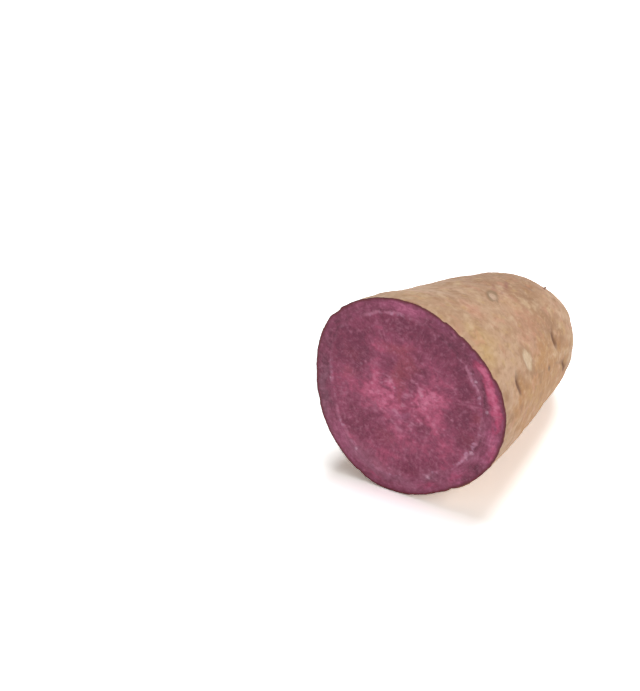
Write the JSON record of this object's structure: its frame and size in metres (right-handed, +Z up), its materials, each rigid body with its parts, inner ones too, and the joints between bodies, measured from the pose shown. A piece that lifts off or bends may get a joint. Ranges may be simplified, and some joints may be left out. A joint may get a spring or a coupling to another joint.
{
  "type": "purple sweet potato half",
  "caption": "Purple sweet potato half lying on its side: tan skin, a blunt tail and a flat, deep purple cut face.",
  "frame": {"origin": "centre of the bounding box in X and Y, at the level of the surface it rests on", "axes": "+Y runs along the root from the cut face to the tail, +Z is up, and the cut face looks along -Y"},
  "size_m": [0.0674, 0.092, 0.0716],
  "materials": {
    "skin": "matte"
  },
  "bodies": {
    "root": {"sweet_potato_half": "skin"}
  },
  "joints": []
}
